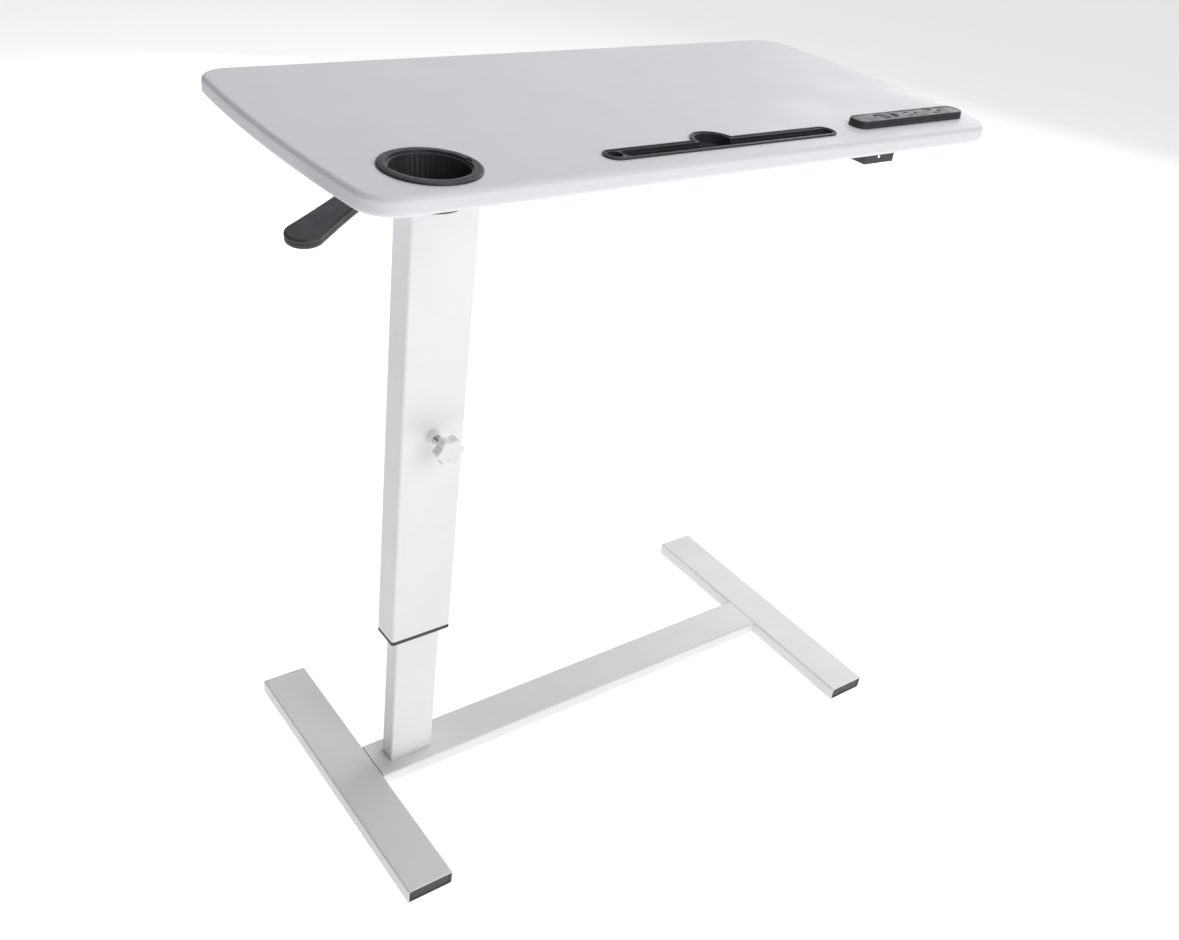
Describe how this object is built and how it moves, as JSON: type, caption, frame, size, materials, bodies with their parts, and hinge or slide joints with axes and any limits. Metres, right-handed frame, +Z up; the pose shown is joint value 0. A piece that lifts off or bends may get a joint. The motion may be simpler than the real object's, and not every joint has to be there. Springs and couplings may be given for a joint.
{
  "type": "overbed table",
  "caption": "Height-adjustable overbed table with an H-shaped base, telescoping column, release lever and a white top with cup holder, tablet tray and power strip.",
  "frame": {"origin": "on the floor, at the middle of the whole table in plan", "axes": "+X to the right along the length of the top, -Y towards the user at the front edge with the tray, +Z up"},
  "size_m": [0.8755, 0.408, 0.8706],
  "materials": {
    "white_powder_coat": "white powder coat, satin",
    "white_board": "white film-wrapped fibreboard, matt",
    "black_plastic": "black moulded plastic, fine grain",
    "black_coat": "black powder-coated sheet steel",
    "rubber": "black rubber",
    "nylon": "natural nylon",
    "white_plastic": "white moulded plastic",
    "zinc_steel": "zinc-plated steel",
    "dark_steel": "black-oxide steel"
  },
  "bodies": {
    "base": {"foot_left": "white_powder_coat", "foot_right": "white_powder_coat", "tongue_left": "zinc_steel", "tongue_right": "zinc_steel", "tongue_screw_left_foot": "dark_steel", "tongue_screw_left_bar": "dark_steel", "tongue_screw_right_foot": "dark_steel", "tongue_screw_right_bar": "dark_steel", "end_cap_left_front": "black_plastic", "end_cap_left_rear": "black_plastic", "end_cap_right_front": "black_plastic", "end_cap_right_rear": "black_plastic", "glide_left_front": "rubber", "glide_left_rear": "rubber", "glide_right_front": "rubber", "glide_right_rear": "rubber", "crossbar": "white_powder_coat", "inner_column": "white_powder_coat", "column_nut_block": "zinc_steel", "column_bolt_1": "dark_steel", "column_bolt_2": "dark_steel", "upper_guide": "nylon", "gas_spring_cylinder": "dark_steel"},
    "lift": {"outer_column": "white_powder_coat", "lower_bushing": "black_plastic", "gas_spring_rod": "zinc_steel", "rod_seat": "zinc_steel", "rod_nut_lower": "dark_steel", "rod_nut_upper": "dark_steel", "mounting_plate": "white_powder_coat", "board_screw_1": "dark_steel", "board_screw_2": "dark_steel", "board_screw_3": "dark_steel", "board_screw_4": "dark_steel", "tabletop": "white_board", "cup_ring": "black_plastic", "cup_insert": "black_plastic", "tablet_tray": "black_plastic", "strip_housing": "black_plastic", "charging_port": "black_plastic", "outlet_1": "black_plastic", "outlet_2": "black_plastic", "strip_bracket": "black_coat", "bracket_screw_1": "dark_steel", "bracket_screw_2": "dark_steel", "lever_bracket": "zinc_steel", "lever_pin": "dark_steel", "clamp_boss": "white_powder_coat"},
    "valve_pin": {"release_pin": "zinc_steel"},
    "lever": {"lever_bar": "zinc_steel", "lever_paddle": "black_plastic"},
    "rocker": {"rocker_switch": "black_plastic"},
    "pad": {"clamp_pad": "nylon"},
    "knob": {"clamp_stud": "zinc_steel", "clamp_knob": "white_plastic"}
  },
  "joints": [
    {"name": "column_lift", "type": "slide", "parent": "base", "child": "lift", "axis": [0, 0, 1], "range_m": [-0.19, 0.085]},
    {"name": "lever_pull", "type": "hinge", "parent": "lift", "child": "lever", "pos_m": [-0.2722, -0.02884, 0.8305], "axis": [-0.515, 0.8572, 0], "range_deg": [0, 4.5], "stiffness_Nm_per_rad": 2, "springref_deg": -6.88},
    {"name": "release_pin_press", "type": "slide", "parent": "lift", "child": "valve_pin", "axis": [0, 0, -1], "range_m": [0, 0.0045]},
    {"name": "rocker_tilt", "type": "hinge", "parent": "lift", "child": "rocker", "pos_m": [0.2398, -0.144, 0.864], "axis": [0, 1, 0], "range_deg": [0, 12]},
    {"name": "clamp_travel", "type": "slide", "parent": "lift", "child": "pad", "axis": [0, -1, 0], "range_m": [0, 0.00187]},
    {"name": "clamp_turn", "type": "hinge", "parent": "pad", "child": "knob", "pos_m": [-0.2242, -0.05, 0.512], "axis": [0, -1, 0], "range_deg": [0, 540.1]}
  ],
  "couplings": [
    {"joint": "release_pin_press", "follows": "lever_pull", "m_per_rad": 0.056},
    {"joint": "clamp_turn", "follows": "clamp_travel", "rad_per_m": 5026.5}
  ]
}
